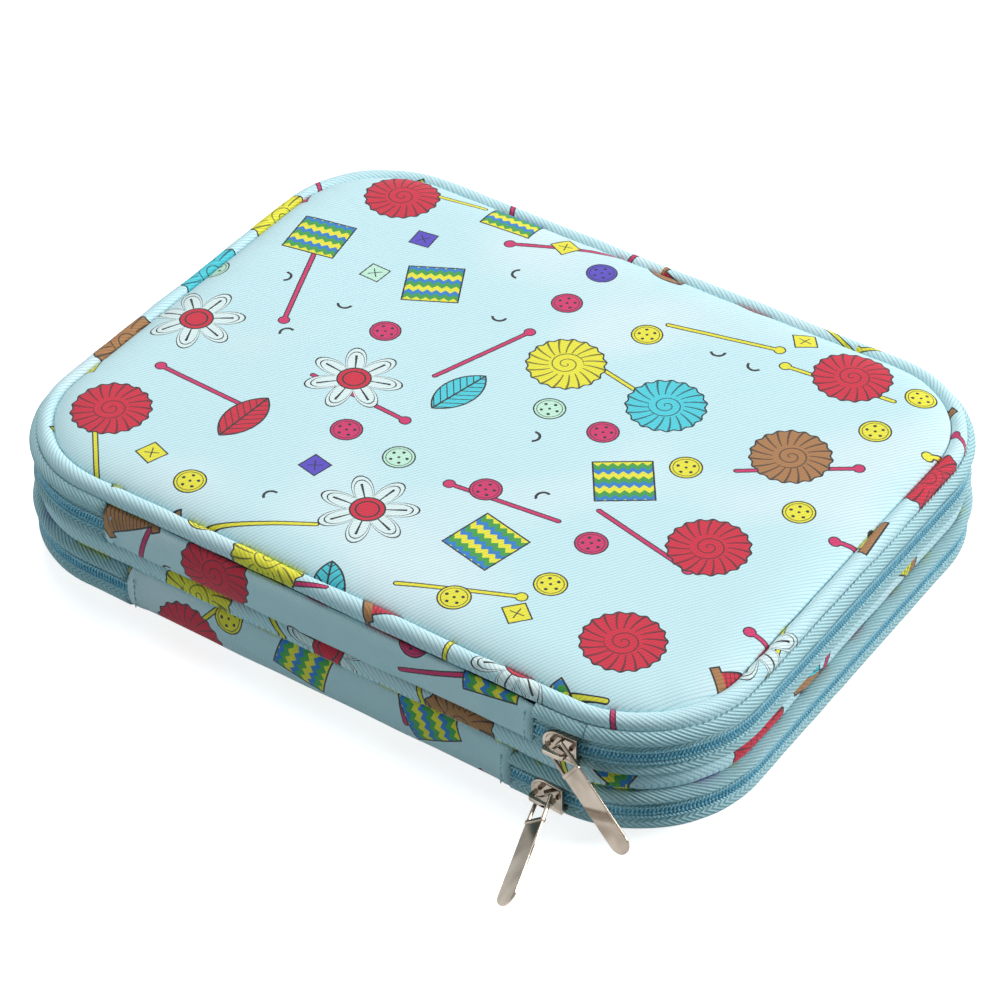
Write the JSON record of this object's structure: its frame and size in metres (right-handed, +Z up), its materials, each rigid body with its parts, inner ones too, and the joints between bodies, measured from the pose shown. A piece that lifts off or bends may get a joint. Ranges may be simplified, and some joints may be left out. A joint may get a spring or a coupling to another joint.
{
  "type": "knitting needle case box",
  "caption": "Soft padded double-layer knitting needle case, printed pale blue twill with piping, zipped round three sides of each layer, with a metal slider and pull on each zip.",
  "frame": {"origin": "centre of the base's flat underside", "axes": "+X along the spine towards the end with the sliders, +Y from the spine to the back, +Z up"},
  "size_m": [0.2422, 0.2191, 0.0451],
  "materials": {
    "printed_cloth": "pale cyan polyester twill with a printed pattern",
    "lining_cloth": "plain woven lining",
    "elastic": "knitted elastic",
    "foam": "soft foam",
    "board": "stiff sheet",
    "zip_tape": "woven zip tape",
    "zip_coil": "nylon coil",
    "slider_metal": "polished nickel plate"
  },
  "bodies": {
    "base": {"base_cover": "printed_cloth", "base_padding": "foam", "base_board": "board", "base_lining": "lining_cloth", "base_piping": "printed_cloth", "base_elastic_left": "elastic", "base_elastic_right": "elastic", "lower_spine_band": "printed_cloth", "lower_zip_base_tape": "zip_tape", "lower_zip_base_coil": "zip_coil", "lower_zip_end_tape": "zip_tape", "lower_zip_end_coil": "zip_coil"},
    "middle": {"lower_zip_middle_tape": "zip_tape", "lower_zip_middle_coil": "zip_coil", "middle_lining_bottom": "lining_cloth", "middle_board": "board", "middle_padding": "foam", "middle_lining_top": "lining_cloth", "middle_piping": "printed_cloth", "middle_elastic_left": "elastic", "middle_elastic_right": "elastic", "upper_spine_band": "printed_cloth", "upper_zip_middle_tape": "zip_tape", "upper_zip_middle_coil": "zip_coil", "upper_zip_end_tape": "zip_tape", "upper_zip_end_coil": "zip_coil"},
    "lid": {"upper_zip_lid_tape": "zip_tape", "upper_zip_lid_coil": "zip_coil", "lid_lining": "lining_cloth", "lid_pocket": "lining_cloth", "lid_board": "board", "lid_padding": "foam", "lid_cover": "printed_cloth", "lid_piping": "printed_cloth"},
    "lower_slider": {"lower_slider_body": "slider_metal", "lower_slider_crown": "slider_metal"},
    "lower_pull": {"lower_pull": "slider_metal"},
    "upper_slider": {"upper_slider_body": "slider_metal", "upper_slider_crown": "slider_metal"},
    "upper_pull": {"upper_pull": "slider_metal"}
  },
  "joints": [
    {"name": "middle_hinge", "type": "hinge", "parent": "base", "child": "middle", "pos_m": [0, -0.0927, 0.02], "axis": [1, 0, 0], "range_deg": [0, 95]},
    {"name": "lid_hinge", "type": "hinge", "parent": "middle", "child": "lid", "pos_m": [0, -0.0915, 0.03965], "axis": [-1, 0, 0], "range_deg": [-183, 0]},
    {"name": "lower_slider_run", "type": "hinge", "parent": "base", "child": "lower_slider", "pos_m": [0.0815, -0.0535, 0.01225], "axis": [0, 0, 1], "range_deg": [0, 85]},
    {"name": "upper_slider_run", "type": "hinge", "parent": "middle", "child": "upper_slider", "pos_m": [0.0815, -0.0535, 0.03135], "axis": [0, 0, -1], "range_deg": [-85, 0]},
    {"name": "lower_pull_swing", "type": "hinge", "parent": "lower_slider", "child": "lower_pull", "pos_m": [0.07857, -0.09535, 0.01225], "axis": [-0.7471, 0.0522, -0.6626], "range_deg": [-54, 25]},
    {"name": "upper_pull_swing", "type": "hinge", "parent": "upper_slider", "child": "upper_pull", "pos_m": [0.08172, -0.09455, 0.03135], "axis": [0.5591, 0.0098, 0.829], "range_deg": [-90, 4]}
  ]
}
